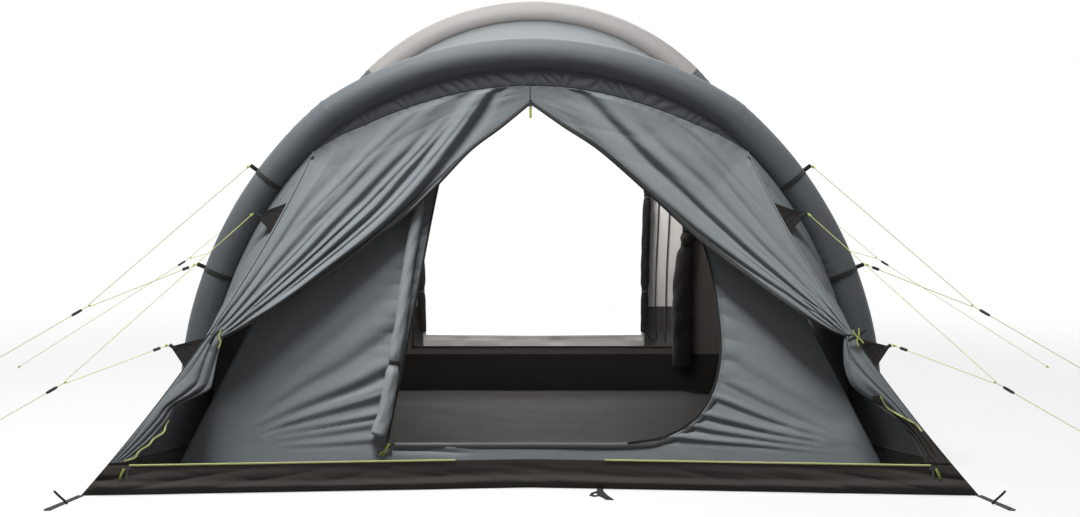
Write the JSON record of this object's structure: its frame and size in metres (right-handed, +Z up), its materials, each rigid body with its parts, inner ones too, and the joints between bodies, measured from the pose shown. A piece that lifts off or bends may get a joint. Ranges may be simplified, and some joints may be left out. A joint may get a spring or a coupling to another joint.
{
  "type": "inflatable tent",
  "caption": "Inflatable tunnel tent held up by air beams, pitched with its near doors tied open, an inner room with a D-shaped doorway, and guy lines.",
  "frame": {"origin": "centre of the pitched tent's box at ground level, measured without the guy lines, their bridles and their runners", "axes": "+X across the tent, to the right seen from the near end; +Y from the near end to the far end; +Z up"},
  "size_m": [6.2214, 4.5324, 2.151],
  "materials": {
    "flysheet": "matt coated blue-grey weave",
    "patch_cloth": "matt dark brown",
    "sill_cloth": "matt taupe",
    "inner_cloth": "matt grey-brown",
    "groundsheet": "satin dark coated sheet",
    "air_film": "satin clear film",
    "webbing": "black woven tape",
    "plastic": "matt black",
    "cord": "braided lime",
    "pull_tape": "lime tape"
  },
  "bodies": {
    "tent": {"curtain_left": "flysheet", "curtain_right": "flysheet", "far_door_roll_left": "flysheet", "far_door_roll_right": "flysheet", "far_wall": "flysheet", "front_band": "flysheet", "ground_strap_left": "webbing", "ground_strap_right": "webbing", "groundsheet_tub": "groundsheet", "gusset_left": "flysheet", "gusset_right": "flysheet", "guy_bridle_near_left": "cord", "guy_bridle_near_right": "cord", "guy_bridle_patch_left": "cord", "guy_bridle_patch_right": "cord", "guy_bridle_tall_left": "cord", "guy_bridle_tall_right": "cord", "guy_line_near_left": "cord", "guy_line_near_right": "cord", "guy_line_patch_left": "cord", "guy_line_patch_right": "cord", "guy_line_tall_left": "cord", "guy_line_tall_right": "cord", "guy_strap_lower_left": "webbing", "guy_strap_lower_right": "webbing", "guy_strap_upper_left": "webbing", "guy_strap_upper_right": "webbing", "middle_ground_tab": "webbing", "near_air_tube": "air_film", "near_sleeve": "flysheet", "near_valve": "plastic", "patch_lower_left": "patch_cloth", "patch_lower_right": "patch_cloth", "patch_upper_left": "patch_cloth", "patch_upper_right": "patch_cloth", "peak_slider": "plastic", "roof": "flysheet", "room_canopy": "inner_cloth", "room_door_roll": "flysheet", "room_exit_roll": "inner_cloth", "room_far_wall": "inner_cloth", "room_near_wall": "flysheet", "sill": "sill_cloth", "tall_air_tube": "air_film", "tall_sleeve": "flysheet", "tall_valve": "plastic", "wall_left": "flysheet", "wall_right": "flysheet"},
    "runner_near_left": {"guy_runner_near_left": "plastic"},
    "runner_near_right": {"guy_runner_near_right": "plastic"},
    "runner_tall_left": {"guy_runner_tall_left": "plastic"},
    "runner_tall_right": {"guy_runner_tall_right": "plastic"},
    "runner_patch_left": {"guy_runner_patch_left": "plastic"},
    "runner_patch_right": {"guy_runner_patch_right": "plastic"},
    "near_cap": {"near_valve_cap": "plastic"},
    "tall_cap": {"tall_valve_cap": "plastic"},
    "room_slider": {"room_zip_slider": "plastic"},
    "sill_slider_left": {"sill_slider_left": "plastic"},
    "sill_slider_right": {"sill_slider_right": "plastic"},
    "peak_pull": {"peak_pull": "pull_tape"}
  },
  "joints": [
    {"name": "runner_near_left_slide", "type": "slide", "parent": "tent", "child": "runner_near_left", "axis": [-0.8665, 0, -0.4991], "range_m": [-0.03, 0.4]},
    {"name": "runner_near_right_slide", "type": "slide", "parent": "tent", "child": "runner_near_right", "axis": [0.8665, 0, -0.4991], "range_m": [-0.03, 0.4]},
    {"name": "runner_tall_left_slide", "type": "slide", "parent": "tent", "child": "runner_tall_left", "axis": [-0.8454, 0, -0.5341], "range_m": [-0.03, 0.4]},
    {"name": "runner_tall_right_slide", "type": "slide", "parent": "tent", "child": "runner_tall_right", "axis": [0.8454, 0, -0.5341], "range_m": [-0.03, 0.4]},
    {"name": "runner_patch_left_slide", "type": "slide", "parent": "tent", "child": "runner_patch_left", "axis": [-0.8638, -0.1023, -0.4933], "range_m": [-0.03, 0.4]},
    {"name": "runner_patch_right_slide", "type": "slide", "parent": "tent", "child": "runner_patch_right", "axis": [0.8638, -0.1023, -0.4933], "range_m": [-0.03, 0.4]},
    {"name": "near_cap_hinge", "type": "hinge", "parent": "tent", "child": "near_cap", "pos_m": [1.52503, -1.39422, 0.26395], "axis": [0, -1, 0], "range_deg": [0, 110]},
    {"name": "tall_cap_hinge", "type": "hinge", "parent": "tent", "child": "tall_cap", "pos_m": [1.69361, 1.40578, 0.30138], "axis": [0, -1, 0], "range_deg": [0, 110]},
    {"name": "room_slider_slide", "type": "slide", "parent": "tent", "child": "room_slider", "axis": [1, 0, 0], "range_m": [0, 0.95]},
    {"name": "sill_slider_left_slide", "type": "slide", "parent": "tent", "child": "sill_slider_left", "axis": [0.9965, 0.0831, 0], "range_m": [0, 1.1]},
    {"name": "sill_slider_right_slide", "type": "slide", "parent": "tent", "child": "sill_slider_right", "axis": [-0.9965, 0.0831, 0], "range_m": [0, 1.1]},
    {"name": "peak_pull_hinge", "type": "hinge", "parent": "tent", "child": "peak_pull", "pos_m": [0, -1.44932, 1.54615], "axis": [1, 0, 0], "range_deg": [-85, 20]}
  ]
}
